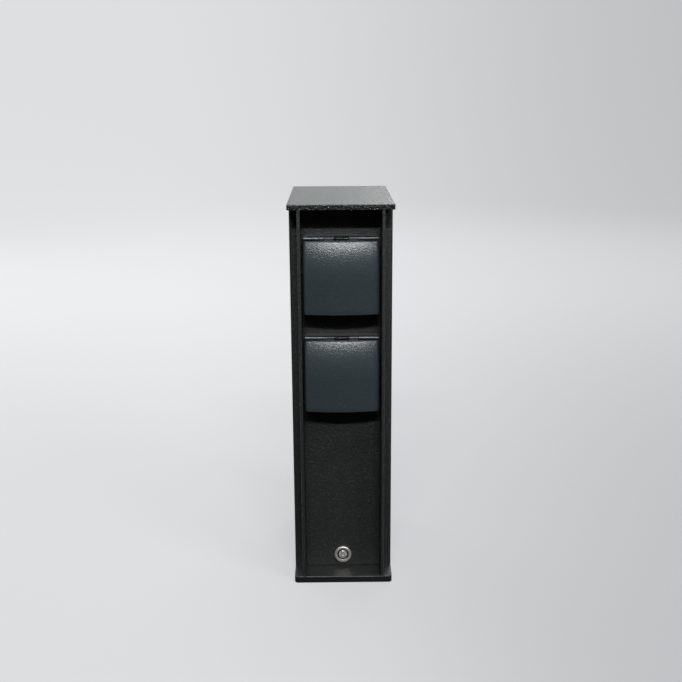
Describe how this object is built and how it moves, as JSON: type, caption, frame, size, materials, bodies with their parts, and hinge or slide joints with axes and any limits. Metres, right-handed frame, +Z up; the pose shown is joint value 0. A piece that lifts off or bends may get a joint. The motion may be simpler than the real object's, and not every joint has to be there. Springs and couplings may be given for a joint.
{
  "type": "outdoor power pedestal",
  "caption": "Short square outdoor power pedestal with a flat roof, side fins, socket outlets under hinged rain lids, and a quarter-turn panel lock.",
  "frame": {"origin": "centre of the overall box, on the ground", "axes": "+Z up, the front with the sockets faces -Y, +X to the right of someone facing it"},
  "size_m": [0.105, 0.177, 0.4],
  "materials": {
    "black_coat": "fine-textured black powder coat",
    "anthracite_plastic": "satin anthracite plastic",
    "anthracite_frame": "satin anthracite plastic",
    "seal_rubber": "matt black EPDM",
    "insert_plastic": "matt dark grey plastic",
    "body_plastic": "light grey moulded plastic",
    "zinc_steel": "zinc-plated steel",
    "stainless": "stainless steel",
    "spring_steel": "blackened steel",
    "brass": "plain brass",
    "terminal_grey": "grey terminal housing",
    "terminal_blue": "blue terminal housing",
    "terminal_earth": "green and yellow terminal housing",
    "wire_brown": "brown PVC insulation",
    "wire_blue": "blue PVC insulation",
    "wire_earth": "green and yellow PVC insulation",
    "clamp_plastic": "black polyamide"
  },
  "bodies": {
    "pedestal": {"base_plate": "black_coat", "cable_bushing": "seal_rubber", "rear_casing": "black_coat", "left_fin": "black_coat", "right_fin": "black_coat", "roof_plate": "black_coat", "base_angles": "zinc_steel", "roof_angles": "zinc_steel", "base_screws": "zinc_steel", "roof_screws": "zinc_steel", "panel_seat": "black_coat", "panel_gasket": "seal_rubber", "service_panel": "black_coat", "panel_hooks": "black_coat", "lock_housing": "stainless", "lock_nut": "zinc_steel", "clamp_bracket": "zinc_steel", "cable_clamp": "clamp_plastic", "clamp_screws": "zinc_steel", "din_rail": "zinc_steel", "rail_nuts": "zinc_steel", "line_terminal": "terminal_grey", "earth_terminal": "terminal_earth", "neutral_terminal": "terminal_blue", "line_wires": "wire_brown", "earth_wires": "wire_earth", "neutral_wires": "wire_blue", "upper_frame": "anthracite_frame", "upper_frame_seal": "seal_rubber", "upper_frame_screws": "stainless", "upper_frame_nuts": "zinc_steel", "upper_hinge_pin": "spring_steel", "upper_lid_spring": "spring_steel", "upper_insert": "insert_plastic", "upper_earth_clip": "zinc_steel", "upper_socket_body": "body_plastic", "upper_contacts": "brass", "upper_terminal_screws": "zinc_steel", "lower_frame": "anthracite_frame", "lower_frame_seal": "seal_rubber", "lower_frame_screws": "stainless", "lower_frame_nuts": "zinc_steel", "lower_hinge_pin": "spring_steel", "lower_lid_spring": "spring_steel", "lower_insert": "insert_plastic", "lower_earth_clip": "zinc_steel", "lower_socket_body": "body_plastic", "lower_contacts": "brass", "lower_terminal_screws": "zinc_steel"},
    "upper_lid": {"upper_lid": "anthracite_plastic", "upper_lid_seal": "seal_rubber"},
    "lower_lid": {"lower_lid": "anthracite_plastic", "lower_lid_seal": "seal_rubber"},
    "lock_key": {"lock_spindle": "stainless", "lock_cam": "zinc_steel", "cam_screw": "zinc_steel"}
  },
  "joints": [
    {"name": "upper_lid_hinge", "type": "hinge", "parent": "pedestal", "child": "upper_lid", "pos_m": [0, -0.0715, 0.3645], "axis": [-1, 0, 0], "range_deg": [0, 100], "stiffness_Nm_per_rad": 0.03, "springref_deg": -34.38},
    {"name": "lower_lid_hinge", "type": "hinge", "parent": "pedestal", "child": "lower_lid", "pos_m": [0, -0.0715, 0.2635], "axis": [-1, 0, 0], "range_deg": [0, 100], "stiffness_Nm_per_rad": 0.03, "springref_deg": -34.38},
    {"name": "lock_turn", "type": "hinge", "parent": "pedestal", "child": "lock_key", "pos_m": [0, -0.0635, 0.0204], "axis": [0, 1, 0], "range_deg": [0, 90]}
  ]
}
